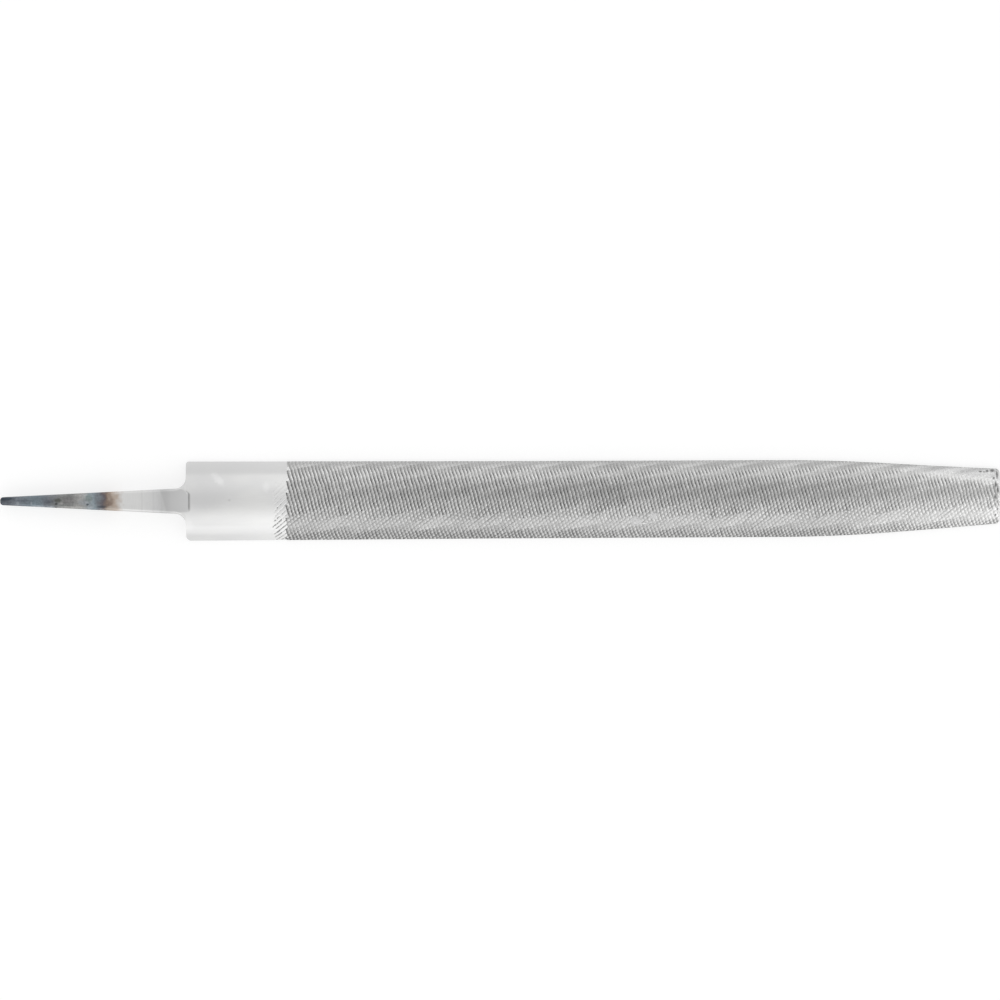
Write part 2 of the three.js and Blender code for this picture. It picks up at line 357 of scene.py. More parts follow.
def facet_height(x, y):
    """Height of the facet, and past its end the height of the rounded step there."""
    plane = FACET_Z + FACET_SLOPE * (x - SHOULDER_X + FACET_LENGTH) + FACET_TILT * y
    past = past_facet(x, y)
    step = (BLADE_THICKNESS - FACET_Z) * (1 - np.clip(1 - past, 0, 1) ** 3)
    return np.where(past < 1, plane + step, BLADE_THICKNESS)


# Teeth

def tooth_places():
    """Where the edges of the teeth cross the middle of a side."""
    reach = LEAN * half_arc_length(CUT_X) * LEAN_SPARE_SHARE
    margin = reach + PITCH_AT_HEEL + FRONT_SHARE * PITCH_AT_HEEL
    places = [CUT_X - margin]
    while places[-1] < END_X + margin:
        along = (places[-1] - CUT_X) / (END_X - CUT_X)
        places.append(places[-1] + PITCH_AT_HEEL + (PITCH_AT_END - PITCH_AT_HEEL) * along)
    return np.array(places)


PLACES = tooth_places()
STROKE_ROWS = len(PLACES) + 2
draw = np.random.default_rng(SEED)
stroke_depths = draw.uniform(*STROKE_DEPTH_SHARES, (STROKE_ROWS, STRIPS))
stroke_shifts = draw.uniform(-1, 1, (STROKE_ROWS, STRIPS)) * STROKE_SHIFT
cross_depths = draw.uniform(*CROSS_STROKE_SHARES, (CROSS_ROWS, STRIPS))
waver_turns = draw.uniform(-1, 1, (WAVES, 2)) * 2 * math.pi / SHORTEST_WAVE
waver_phases = draw.uniform(0, 2 * math.pi, WAVES)
cross_offsets = draw.uniform(-CROSS_OFFSET_SHARE, CROSS_OFFSET_SHARE, (STRIPS, 1))


def cell(table, row, column):
    """Entries of a table of random numbers, by whole numbers of either sign."""
    rows, columns = table.shape
    return table[row.astype(int) % rows, column.astype(int) % columns]


def repeating(share, shares, values):
    """Reads a profile that repeats, given by its values at shares of one period."""
    return np.interp(share % 1, (*shares, 1), (*values, values[0]))


def strip_place(x, across):
    """Which strip a point is cut in, and how far it lies across that strip."""
    lines = (across * math.cos(STRIP_ANGLE) - x * math.sin(STRIP_ANGLE)) / STRIP_WIDTH
    return lines + STRIP_PHASE


def first_tooth(strip):
    """The first tooth of a strip, which starts past the heel where the strip begins."""
    top = (np.floor(strip) + 1 - STRIP_PHASE) * STRIP_WIDTH + CUT_X * math.sin(STRIP_ANGLE)
    start = tooth_number(CUT_X + LEAN * top / math.cos(STRIP_ANGLE))
    return np.ceil(start - FIRST_TOOTH_SHARE)


def main_cut(tooth, strip):
    share = repeating(tooth, TOOTH_SHARES, TOOTH_DEPTH_SHARES)
    stroke = cell(stroke_depths, np.floor(tooth), np.floor(strip))
    struck = np.floor(tooth) >= first_tooth(strip)
    return share * stroke * struck


def cross_cut(x, across, strip):
    line = (x * math.sin(CROSS_ANGLE) - across * math.cos(CROSS_ANGLE)) / CROSS_PITCH
    line = line + cell(cross_offsets, np.floor(strip), np.zeros_like(strip))
    share = repeating(line, CROSS_SHARES, CROSS_DEPTH_SHARES)
    return share * cell(cross_depths, np.floor(line), np.floor(strip))


def drawn_side(x, side, strip, half_across):
    """Where a point lies between the edges, -1 and 1, drawn towards the middle of its strip."""
    middle = (np.floor(strip) + 0.5 - STRIP_PHASE) * STRIP_WIDTH + x * math.sin(STRIP_ANGLE)
    strip_side = middle / math.cos(STRIP_ANGLE) / half_across
    return (1 - STRIP_BLEND_SHARE) * side + STRIP_BLEND_SHARE * strip_side


def bite(drawn):
    """How deep the main cut bites."""
    return np.interp(drawn, BITE_PLACES, BITE_SHARES)


def faded(x, drawn):
    """The share of the main cut that is missing towards the upper edge."""
    past_start = drawn - np.interp(x, FADE_PLACES, FADE_STARTS)
    share = np.clip(past_start / np.interp(x, FADE_PLACES, FADE_RUNS), 0, 1)
    return share * np.interp(x, FADE_PLACES, FADE_LOSSES)


def streaked(x, side, strip):
    """The share of the main cut that is missing along the smooth streak of each strip."""
    loss = np.interp(side, STREAK_SIDES, STREAK_SIDE_LOSSES)
    loss = loss * np.interp(x, STREAK_PLACES, STREAK_PLACE_SHARES)
    return repeating(strip, STREAK_ACROSS, STREAK_ACROSS_SHARES) * loss


def painted_strip_light(side, strip):
    """Painted light on the lower part of a strip, and painted shade on its upper part."""
    swing = np.cos(2 * math.pi * (strip - STRIP_PAINTED_LIGHT_AT))
    return STRIP_PAINTED_LIGHT * swing * np.interp(side, STRIP_PAINTED_LIGHT_SIDES, STRIP_PAINTED_LIGHT_SIDE_SHARES)


def deepest_cut(side):
    return DEPTH_AT_CROWN + (DEPTH_AT_EDGE - DEPTH_AT_CROWN) * side**2


def both_cuts(main, cross, deepest):
    """Depth where two cuts cross, and that depth as a share of the deepest."""
    depth = np.maximum(main, cross) + CROSSING_DEPTH_SHARE * np.minimum(main, cross)
    return depth, depth / deepest


def wear(x, across):
    """The share of the depth that is worn away, and how smooth that leaves the steel."""
    lost, smoothed = np.zeros_like(x), np.zeros_like(x)
    for centre, size, loss, smoothness in WORN_PLACES:
        reach = np.hypot((x - centre[0]) / size[0], (across - centre[1]) / size[1])
        inside = np.clip((WORN_REACH_SHARE - reach) / WORN_FADE_SHARE, 0, 1)
        lost = lost + loss * inside
        smoothed = smoothed + smoothness * inside
    return np.minimum(lost, 1), smoothed


def painted_round_light(x, side):
    """How much painted light the steel gets, from 0 for painted shade to 1 for painted light."""
    painted_shade = np.interp(side, PAINTED_SHADE_SIDES, PAINTED_SHADE_SIDE_SHARES) * np.interp(x, PAINTED_SHADE_PLACES, PAINTED_SHADE_SHARES)
    painted_gleam = np.interp(side, PAINTED_GLEAM_SIDES, PAINTED_GLEAM_SIDE_SHARES) * np.interp(x, PAINTED_GLEAM_PLACES, PAINTED_GLEAM_SHARES)
    painted_edge_light = np.interp(np.abs(side), NEAR_EDGE_PAINTED_LIGHT_SIDES, NEAR_EDGE_PAINTED_LIGHT_SHARES)
    painted_edge_light = painted_edge_light * np.clip((x - WAIST_X) / WAIST_TO_TAPER, 0, NEAR_EDGE_PAINTED_LIGHT_LIMIT)
    shine = np.interp(side, PAINTED_LIGHT_PLACES, PAINTED_LIGHT_SHARES) + POINT_PAINTED_LIGHT * taper_share(x)
    return shine - painted_shade + painted_gleam + painted_edge_light


def round_cuts(tooth, x, across):
    """Depth and depth share on the round side, how smooth it is left, and its painted light and
    shade.
    """
    strip = strip_place(x, across)
    half_across = half_arc_length(x)
    side = across / half_across
    drawn = drawn_side(x, side, strip, half_across)
    fade = faded(x, drawn)
    streak = streaked(x, side, strip)
    bitten = bite(drawn) * (1 - fade) * (1 - streak)
    lost, smoothed = wear(x, across)
    deepest = deepest_cut(side) * (1 - POINT_DEPTH_LOSS_SHARE * taper_share(x))
    main = main_cut(tooth, strip) * deepest * bitten * (1 - lost)
    cross_share = np.interp(side, CROSS_PLACES, CROSS_SIDE_SHARES)
    cross = cross_cut(x, across, strip) * CROSS_DEPTH * cross_share * (1 - lost)
    cross = cross * (1 - POINT_CROSS_LOSS_SHARE * taper_share(x))
    smooth = FULL_BITE_SHARE - bitten + smoothed + FADE_SMOOTH * fade**2
    # Painted light and shade across the side, along each strip and along the streaks
    shine = painted_round_light(x, side) + painted_strip_light(side, strip) - STREAK_PAINTED_SHADE * streak
    return *both_cuts(main, cross, deepest), np.clip(smooth, 0, MOST_SMOOTH), shine


def flat_cuts(tooth, x, across):
    """The same on the flat side, where each stroke goes right across."""
    one_strip = np.zeros_like(tooth)
    stroke = cell(stroke_depths, np.floor(tooth), one_strip)
    main = repeating(tooth, TOOTH_SHARES, TOOTH_DEPTH_SHARES) * stroke * DEPTH_ON_FLAT
    cross = cross_cut(x, across, one_strip) * CROSS_DEPTH * FLAT_CROSS_SHARE
    shine = np.full_like(tooth, FLAT_PAINTED_LIGHT)
    return *both_cuts(main, cross, DEPTH_ON_FLAT), np.zeros_like(tooth), shine


def row_places():
    """The rows of the toothed grids: a few places along each tooth."""
    pitches = np.diff(PLACES)
    shares = np.array(TOOTH_SHARES)
    return (PLACES[:-1, None] + pitches[:, None] * shares[None, :]).ravel()


def tooth_number(place):
    return np.interp(place, PLACES, np.arange(len(PLACES)))


def leaning_grid(columns, half_across, lean, low_x, high_x):
    """Shares across, stations and tooth numbers of a grid whose rows lean with the teeth."""
    across_share = np.linspace(-1, 1, columns)[None, :]
    rows = row_places()[:, None]
    x = np.clip(rows - lean * half_across(rows) * across_share, low_x, high_x)
    place = x
    for _ in range(LEAN_STEPS):
        place = x + lean * half_across(place) * across_share
    return across_share, x, tooth_number(place) + TOOTH_NUDGE


def shifted(x, tooth, strip, low_x, high_x):
    """Points moved along the file with the stroke that cut them, and held at both ends."""
    inside = np.clip(np.minimum(x - low_x, high_x - x) / HOLD_RUN, 0, 1)
    stroke = cell(stroke_shifts, np.floor(tooth + STROKE_NUDGE), np.floor(strip))
    bend = -STRIP_BEND * np.sin(2 * math.pi * (strip - BEND_PHASE))
    turns = waver_turns[:, 0, None, None] * x + waver_turns[:, 1, None, None] * strip * STRIP_WIDTH
    waver = WAVER * np.sin(turns + waver_phases[:, None, None]).mean(axis=0)
    uneven = 1 + POINT_UNEVEN_SHARE * taper_share(x)
    return np.clip(x + (bend + (stroke + waver) * uneven) * inside, low_x, high_x)


def dressed_end(x, *shares):
    """The shares for the material by name, with a plain ground look on the end face."""
    at_end = x > END_X - MERGE
    looks = zip(("depth_share", "smooth", "shine"), shares, (END_DEPTH_SHARE, 0, 0))
    return {kind: np.where(at_end, ground, values) for kind, values, ground in looks}


def toothed_round(low_x, high_x):
    """Points of the round side between two stations, and their shares for the material."""
    across_share, x, tooth = leaning_grid(ROUND_COLUMNS, half_arc_length, LEAN, low_x, high_x)
    radius, centre_z, _ = round_arc(x)
    angle = across_share * np.arcsin(cornered_half_width(x) / radius)
    across = half_arc_length(x) * across_share
    depth, share, smooth, shine = round_cuts(tooth, x, across)
    strip = strip_place(x, across)
    flat = STRIP_FLAT * (1 - (2 * (strip % 1) - 1) ** 2)
    into_end = np.clip((x - END_X + END_ROUND) / END_ROUND, 0, 1)
    rounded = END_ROUND * (1 - np.sqrt(1 - END_ROUND_SHARE * into_end**2))
    reach = radius - (depth * (1 - into_end) + rounded) - flat
    share = share * (1 - into_end)
    x = shifted(x, tooth, strip, low_x, high_x)
    y = reach * np.sin(angle) + bow(x)
    points = np.stack([x, y, centre_z + reach * np.cos(angle)], axis=-1)
    return points, dressed_end(x, share, smooth, shine)


def toothed_flat(low_x, high_x):
    """The same for the flat side, where the teeth lean the other way as seen from above."""
    across_share, x, tooth = leaning_grid(FLAT_COLUMNS, half_width, -LEAN, low_x, high_x)
    y = cornered_half_width(x) * across_share
    depth, share, smooth, shine = flat_cuts(tooth, x, -y)
    x = shifted(x, tooth, np.zeros_like(tooth), low_x, high_x)
    points = np.stack([x, y + bow(x), depth], axis=-1)
    return points, dressed_end(x, share, smooth, shine)


# Meshes

def add_walls(points, shares, base_z):
    """Adds a column at each side, which takes the long edges up or down to the base level."""
    def wall(column):
        foot = points[:, column].copy()
        middle = bow(foot[:, 0])
        side = foot[:, 1] - middle
        edge = cornered_half_width(foot[:, 0])
        foot[:, 1] = middle + np.sign(side) * (edge + np.abs(side)) / 2
        foot[:, 2] = base_z
        return foot[:, None]
    with_walls = np.concatenate([wall(0), points, wall(-1)], axis=1)
    padded = {kind: np.pad(kept, ((0, 0), (1, 1)), mode="edge") for kind, kept in shares.items()}
    return with_walls, padded


def placed(name, data):
    """A new object in the scene."""
    thing = bpy.data.objects.new(name, data)
    bpy.context.scene.collection.objects.link(thing)
    return thing


def quads(*corners):
    """Faces with four corners, from the grids of their corners."""
    return np.stack(corners, axis=-1).reshape(-1, 4).tolist()


def closed_mesh(name, points, shares, facing_up):
    """A closed mesh under or over a grid of points, whose first and last columns lie on its base."""
    rows, columns, _ = points.shape
    index = np.arange(rows * columns).reshape(rows, columns)
    faces = quads(index[:-1, :-1], index[1:, :-1], index[1:, 1:], index[:-1, 1:])
    faces += quads(index[:-1, 0], index[:-1, -1], index[1:, -1], index[1:, 0])
    faces.append(index[0, :].tolist())
    faces.append(index[-1, ::-1].tolist())
    if not facing_up:
        faces = [face[::-1] for face in faces]
    return piece_from(name, points, faces, shares)


def piece_from(name, points, faces, shares):
    """An object from points and faces, with named shares at each point for its material."""
    mesh = bpy.data.meshes.new(name)
    mesh.from_pydata(points.reshape(-1, 3).tolist(), [], faces)
    for kind, values in shares.items():
        kept = mesh.attributes.new(kind, "FLOAT", "POINT")
        kept.data.foreach_set("value", values.ravel().astype(np.float32))
    edit = bmesh.new()
    edit.from_mesh(mesh)
    bmesh.ops.remove_doubles(edit, verts=edit.verts, dist=MERGE)
    edit.to_mesh(mesh)
    edit.free()
    return placed(name, mesh)


def shade_smooth(piece):
    """Smooth shading, with the edges past an angle left sharp."""
    piece.data.shade_smooth()
    piece.data.set_sharp_from_angle(angle=SHARP_ANGLE)
    return piece


def finish_piece(piece, material, node):
    piece.data.materials.append(material)
    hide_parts(node)
    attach(piece, "root")


# Heel

def quarter_rows(start, reach, count):
    """Rows round a corner of a given reach, close together at its start."""
    return start + reach * (1 - np.cos(np.linspace(0, math.pi / 2, count)))


def heel_stations():
    """Rows along the heel, close together where its shape changes."""
    corner = quarter_rows(SHOULDER_X, LOWER_SHOULDER_CORNER, SHOULDER_ROWS)
    ramp_end = SHOULDER_X + FACET_REACH + RAMP_LENGTH
    ramp = np.arange(corner[-1] + FINE_STEP, ramp_end, RAMP_STEP)
    plain = np.arange(ramp_end, CROSS_START_X, PLAIN_STEP)
    crossed = np.arange(CROSS_START_X, CUT_X - PITCH_AT_HEEL, CROSSED_STEP)
    toothed = np.arange(CUT_X - PITCH_AT_HEEL, CUT_X, FINE_STEP)
    return np.concatenate([corner, ramp, plain, crossed, toothed, [CUT_X]])


def first_teeth(x, across, strip):
    """Depth of the main cut where its first teeth run on into the heel."""
    half_across = half_arc_length(x)
    side = across / half_across
    teeth = main_cut(tooth_number(x + LEAN * across), strip)
    return teeth * bite(drawn_side(x, side, strip, half_across)) * deepest_cut(side)


def over_cut(x, across):
    """Depth of the strokes that run over into the heel."""
    strip = strip_place(x, across)
    start = cell(cross_depths, np.floor(strip * RAGGED_STARTS), np.floor(strip))
    ragged = (start - RAGGED_MIDDLE_SHARE) * RAGGED_RUN
    begun = np.clip((x - CROSS_START_X - ragged) / BEGIN_RUN, 0, 1)
    patch = cell(cross_depths, np.floor(across / BROKEN_WIDTH), np.floor(x / BROKEN_LENGTH))
    broken = BROKEN_GAIN * patch - BROKEN_LOSS
    lower_side = np.interp(across / half_arc_length(x), OVER_CUT_SIDES, OVER_CUT_SHARES)
    crossing = cross_cut(x, across, strip) * CROSS_DEPTH * lower_side * begun * broken
    return np.maximum(crossing, first_teeth(x, across, strip))


def step_shade(x, y):
    """How dark the painted shade along the step at the end of the facet is."""
    past = past_facet(x, y)
    along = np.minimum((past - STEP_START_SHARE) / STEP_RISE_SHARE, (1 - past) / STEP_FALL_SHARE)
    fade_start, fade_end = STEP_SHADE
    aside = np.clip((fade_end - np.abs(y)) / (fade_end - fade_start), 0, 1)
    return np.clip(along, 0, 1) * aside


def heel_points():
    """Points of the heel's upper side, and their shares for the material."""
    x = heel_stations()[:, None]
    across_share = np.linspace(-1, 1, HEEL_COLUMNS)[None, :]
    radius, centre_z, _ = round_arc(x)
    upper_half = cornered_half_width(x)
    lower_half = cornered_half_width(x, LOWER_SHOULDER_CORNER)
    half = np.where(across_share > 0, upper_half, lower_half)
    angle = across_share * np.arcsin(half / radius)
    depth = over_cut(x, radius * angle)
    reach = radius - depth
    y = reach * np.sin(angle)
    skin = centre_z + reach * np.cos(angle)
    facet = facet_height(x, y)
    x = np.broadcast_to(x, y.shape)
    ground = ((facet < skin) & (x < SHOULDER_X + FACET_REACH + FACET_STEP_RUN)).astype(float)
    depth_share = np.minimum(depth / CROSS_DEPTH, OVER_CUT_LIMIT_SHARE)
    # The step share holds the painted shade along the step
    shares = {"facet": ground, "depth_share": depth_share, "step": step_shade(x, y)}
    return np.stack([x, y, np.minimum(skin, facet)], axis=-1), shares


def edge_ring(points, shares):
    """Takes the heel's long edges down to the flat side, with a small round at the bottom."""
    def columns(side):
        feet = []
        for inset, lift in zip(EDGE_INSET_SHARES, EDGE_LIFT_SHARES):
            foot = points[:, side].copy()
            foot[:, 1] -= np.sign(foot[:, 1]) * inset * EDGE_ROUND
            foot[:, 2] = lift * EDGE_ROUND
            feet.append(foot[:, None])
        return feet
    ringed = np.concatenate([*columns(0)[::-1], points, *columns(-1)], axis=1)
    extra = len(EDGE_INSET_SHARES)
    return ringed, {kind: np.pad(kept, ((0, 0), (extra, extra))) for kind, kept in shares.items()}


def make_heel():
    return shade_smooth(closed_mesh("heel_ground", *edge_ring(*heel_points()), True))


# Tang

def tang_stations():
    """Rows along the tang, close together at its tip and at its root."""
    tip = quarter_rows(TIP_X, TANG_TIP_CORNER, TIP_ROWS)
    shank = np.arange(tip[-1] + TIP_GAP, SHOULDER_X - FACET_LENGTH - ROOT_LEAD, PLAIN_STEP)
    root = np.arange(shank[-1] + ROOT_GAP, SHOULDER_X, ROOT_STEP)
    return np.concatenate([tip, shank, root, [SHOULDER_X]])


def tang_half_width(x):
    """Half the tang's width, with the fillets that run out into the shoulder."""
    along = (x - TIP_X) / TANG_LENGTH
    plain = (TANG_TIP_WIDTH + (TANG_ROOT_WIDTH - TANG_TIP_WIDTH) * along) / 2
    into = np.clip(x - SHOULDER_X + ROOT_FILLET, 0, ROOT_FILLET)
    return plain + ROOT_FILLET - np.sqrt(ROOT_FILLET**2 - into**2)


def corner_inset(depth, radius):
    """How far a round corner draws an edge in, at a depth into the corner."""
    depth = min(max(depth, 0), radius)
    return radius - math.sqrt(radius**2 - depth**2)


def rounded_outline(half, bottom, top, edge):
    """Points round a bar with rounded edges, and how far each of them lies into an edge."""
    ys, zs, edges = [], [], []
    starts = ((half, bottom, -90), (half, top, 0), (-half, top, 90), (-half, bottom, 180))
    for side, level, start in starts:
        centre_y = side - math.copysign(edge, side)
        centre_z = level + (edge if level == bottom else -edge)
        turns = np.radians(np.linspace(start, start + 90, TANG_CORNER_STEPS))
        ys += (centre_y + edge * np.cos(turns)).tolist()
        zs += (centre_z + edge * np.sin(turns)).tolist()
        edges += np.abs(np.cos(turns)).tolist()
        if start in (0, 180):
            inner = np.linspace(centre_y, -centre_y, TANG_SIDE_STEPS)[1:-1]
            ys += inner.tolist()
            zs += [level] * len(inner)
            edges += [0] * len(inner)
    return np.array(ys), np.array(zs), np.array(edges)


def tang_ring(x):
    """One ring of points round the tang, each with its shares of the facet and of the edges."""
    inset = corner_inset(TIP_X + TANG_TIP_ROUND - x, TANG_TIP_ROUND)
    along = (x - TIP_X) / TANG_LENGTH
    half = float(tang_half_width(x)) - corner_inset(TIP_X + TANG_TIP_CORNER - x, TANG_TIP_CORNER)
    slope_end = SHOULDER_X - FACET_LENGTH
    tip_top = TANG_TIP_HEIGHT + TANG_TIP_THICKNESS / 2
    top = tip_top + (FACET_Z - tip_top) * (x - TIP_X) / (slope_end - TIP_X) - inset
    bottom = (TANG_TIP_HEIGHT - TANG_TIP_THICKNESS / 2) * (1 - along) + inset
    root_share = np.clip((x - SHOULDER_X + ROOT_FILLET) / ROOT_FILLET, 0, 1)
    edge = TANG_TIP_EDGE + (TANG_ROOT_EDGE - TANG_TIP_EDGE) * along - inset
    edge = max(edge * (1 - TANG_EDGE_LOSS_SHARE * root_share), TANG_LEAST_EDGE)
    edge = min(edge, TANG_MOST_EDGE_SHARE * half)
    ys, zs, edges = rounded_outline(half, bottom, top, edge)
    radius, centre_z, _ = round_arc(x)
    skin = centre_z + np.sqrt(radius**2 - ys**2)
    facet = facet_height(x, ys)
    roof = np.minimum(top, np.minimum(skin, facet))
    zs = bottom + (zs - bottom) * (roof - bottom) / (top - bottom)
    ground = np.clip((np.minimum(top, skin) - facet) / FACET_BLEND + 0.5, 0, 1)
    return np.stack([np.full_like(ys, x), ys + float(bow(x)), zs, ground, edges], axis=-1)


def make_tang():
    rings = np.array([tang_ring(x) for x in tang_stations()])
    count, size, _ = rings.shape
    index = np.arange(count * size).reshape(count, size)
    around = np.roll(index, -1, axis=1)
    faces = quads(index[:-1], around[:-1], around[1:], index[1:])
    faces.append(index[0, ::-1].tolist())
    faces.append(index[-1].tolist())
    shares = {"facet": rings[..., 3], "edge": rings[..., 4]}
    return shade_smooth(piece_from("tang_forged", rings[..., :3], faces, shares))


# Materials

# The standard curve from colours as the eye sees them to linear light
SEEN_LEVELS = 255
CURVE_START = 0.04045
CURVE_SLOPE = 12.92
CURVE_OFFSET = 0.055
CURVE_POWER = 2.4


def tone(red, green, blue):
    """A colour as the eye sees it, from 0 to 255, in the linear values that Blender takes."""
    shares = np.array([red, green, blue]) / SEEN_LEVELS
    curved = ((shares + CURVE_OFFSET) / (1 + CURVE_OFFSET)) ** CURVE_POWER
    linear = np.where(shares > CURVE_START, curved, shares / CURVE_SLOPE)
    return (*linear.tolist(), 1)


def grey(level):
    return tone(level, level, level)


def darker(share):
    return (1 - share, 1 - share, 1 - share, 1)


def on_tang(from_tip, above):
    """A place on the tang, by millimetres from its tip and above its middle line."""
    return TIP_X + from_tip * MM, above * MM


TIP_GREY = tone(80, 86, 94)
SCALE_GREY = tone(127, 132, 139)
WORN_SCALE = tone(142, 143, 142)
STEEL_BLUE = tone(130, 142, 150)
DARK_SCALE = tone(74, 82, 90)
DEEP_BLUE = tone(98, 104, 114)
OLIVE = tone(94, 96, 90)
SOOT = tone(76, 78, 76)
PALE_BLUE = tone(172, 178, 184)
PALE_GREY = tone(176, 175, 173)
WARM_GREY = tone(126, 122, 123)
SEA_GREY = tone(138, 152, 150)
HEAT_BLUE = tone(148, 160, 167)
HEAT_PURPLE = tone(112, 106, 110)
HEAT_BROWN = tone(140, 124, 113)
STRAW = tone(190, 175, 162)
BRIGHT = tone(229, 229, 228)
WARM_SATIN = tone(192, 183, 174)
SATIN = grey(220)
DULL_SATIN = grey(209)

# Heat colours along the tang, by the share of its length from the tip
HEAT_COLOURS = (
    (0, TIP_GREY),
    (0.07, SCALE_GREY),
    (0.2, STEEL_BLUE),
    (0.25, SCALE_GREY),
    (0.33, WORN_SCALE),
    (0.38, WORN_SCALE),
    (0.44, PALE_GREY),
    (0.5, HEAT_BLUE),
    (0.555, HEAT_PURPLE),
    (0.58, HEAT_BROWN),
    (0.612, STRAW),
    (0.665, BRIGHT),
    (0.75, BRIGHT),
    (0.83, SATIN),
    (0.875, DULL_SATIN),
    (0.955, BRIGHT),
)

# Patches of scale on the tang, and painted shade on its two shoulder fillets: place, half size,
# strength and colour
TANG_SCALE_AND_FILLET_SHADE = (
    (on_tang(1.9, 0.95), mm(2.2, 0.5), 0.9, DARK_SCALE),
    (on_tang(6.6, 0.35), mm(2.6, 0.28), 0.55, DEEP_BLUE),
    (on_tang(5.5, -0.4), mm(0.45, 0.6), 0.4, PALE_BLUE),
    (on_tang(9.6, -0.5), mm(0.22, 0.7), 0.45, PALE_BLUE),
    (on_tang(11.2, -1.5), mm(3.1, 0.32), 0.8, PALE_BLUE),
    (on_tang(14.7, 0), mm(1.4, 0.5), 0.6, DEEP_BLUE),
    (on_tang(15.4, -1.7), mm(1.3, 0.4), 0.8, PALE_BLUE),
    (on_tang(17.2, -1.8), mm(0.3, 0.3), 0.8, SOOT),
    (on_tang(17.7, 0.45), mm(1.2, 0.6), 0.8, OLIVE),
    (on_tang(17.3, -0.7), mm(0.4, 0.35), 0.8, SOOT),
    (on_tang(18.9, -0.5), mm(0.6, 0.4), 0.6, PALE_GREY),
    (on_tang(21, 0.4), mm(1.9, 1.1), 0.5, WARM_GREY),
    (on_tang(20.8, -1.9), mm(3, 0.5), 0.8, PALE_GREY),
    (on_tang(24.3, -1.4), mm(1.3, 0.8), 0.6, PALE_GREY),
    (on_tang(25.6, -0.3), mm(1.6, 0.7), 0.5, PALE_BLUE),
    (on_tang(26.9, -0.9), mm(0.4, 0.3), 0.8, DARK_SCALE),
    (on_tang(27.7, -1.7), mm(1, 0.5), 0.6, PALE_BLUE),
    (on_tang(27.3, 1.1), mm(1, 1), 0.6, SEA_GREY),
    (on_tang(31.4, -1.6), mm(1.3, 0.35), 0.6, DARK_SCALE),
    (on_tang(31.5, -2.4), mm(0.9, 0.2), 0.6, PALE_GREY),
    (on_tang(32.9, -3.05), mm(0.5, 0.25), 0.7, SOOT),
    (on_tang(34, -2.3), mm(1.5, 0.8), 0.6, WARM_SATIN),
    # Painted shade on the upper and lower fillets at the shoulder
    (on_tang(56, 5.6), mm(2.2, 1.5), 0.8, grey(218)),
    (on_tang(55.6, -5), mm(2.3, 1.2), 0.65, grey(212)),
)

# Marks on the heel, where the pale ones, the crescent among them, are painted highlights: place, half
# size, turn, strength and colour
HEEL_MARKS_AND_HIGHLIGHTS = (
    (mm(-90, -0.2), mm(4.4, 2.3), 0, 0.75, grey(217)),
    (mm(-86.6, 6.7), mm(2.2, 0.95), math.radians(-51), 0.42, grey(243)),
    (mm(-86, 6.1), mm(0.9, 0.8), 0, 0.25, grey(243)),
    (mm(-71.8, 4.3), mm(0.9, 1.3), 0, 0.55, grey(243)),
    (mm(-83, 0.3), mm(0.4, 0.3), 0, 0.3, grey(170)),
    (mm(-95.6, -7.6), mm(1.2, 1.5), 0, 0.2, grey(250)),
)

# Painted shade along the rounded end of the point and at its upper corner: place and half size
END_PAINTED_SHADE = (
    (mm(147.7, 8), mm(0.4, 0.25)),
    (mm(148.8, 7.9), mm(0.3, 0.2)),
    (mm(149.7, 8.2), mm(0.45, 0.35)),
    (mm(151.4, 8.25), mm(0.75, 0.45)),
    (mm(151.7, 6), mm(0.35, 0.4)),
    (mm(152.7, 7), mm(0.25, 1.3)),
    (mm(152.2, 4.1), mm(0.25, 0.9)),
    (mm(152.8, 2.2), mm(0.2, 0.8)),
    (mm(152, 0.3), mm(0.25, 0.7)),
    (mm(152.8, -3.5), mm(0.2, 0.4)),
    (mm(152.2, -5.3), mm(0.2, 0.3)),
)
END_PAINTED_SHADE_GREY = grey(80)
END_PAINTED_SHADE_STRENGTH = 0.8

# Ramps of greys, by shares of a noise or of the heel's length, and how much darker they make it
TOOTH_CLOUDS = ((0.35, 0.1), (0.65, 0))
TOOTH_SPECKS = ((0.3, 0.2), (0.5, 0), (0.72, -0.25))
HEEL_LINES = ((0.3, 0.03), (0.7, 0))
HEEL_LIFT = ((0, 0.05), (1, -0.05))
TANG_MOTTLE = ((0.35, 0.12), (0.65, -0.08))
TANG_FLECKS = ((0.36, 0.14), (0.64, -0.1))
TANG_POLISH = ((0.3, 0.04), (0.7, 0))

# Noises: the size of their features, their detail, and how far they are drawn out along the axes
WANDER_NOISE = (0.9 * MM, 2)
WANDER = 1.2
TOOTH_GRAIN_NOISE = (0.35 * MM, 3)
TOOTH_CLOUD_NOISE = (9 * MM, 3, (3, 1, 1))
HEEL_GRAIN_NOISE = (0.12 * MM, 3, (40, 1, 1))
HEEL_CLOUD_NOISE = (7 * MM, 2, (2, 1, 1))
TANG_SCALE_NOISE = (1.6 * MM, 3)
TANG_STREAK_NOISE = (1.8 * MM, 3, (3, 1, 1))
TANG_FLECK_NOISE = (0.55 * MM, 3)
TANG_POLISH_NOISE = (0.25 * MM, 2, (1, 12, 1))

# Relief, by its height and strength, and the lowest and highest roughness
TOOTH_RELIEF = (0.02 * MM, 0.6)
TOOTH_ROUGHNESS = (0.22, 0.36)
HEEL_RELIEF = (0.004 * MM, 1)
HEEL_ROUGHNESS = (0.4, 0.48)
TANG_RELIEF = (0.06 * MM, 0.4)
TANG_ROUGHNESS = (0.32, 0.46)

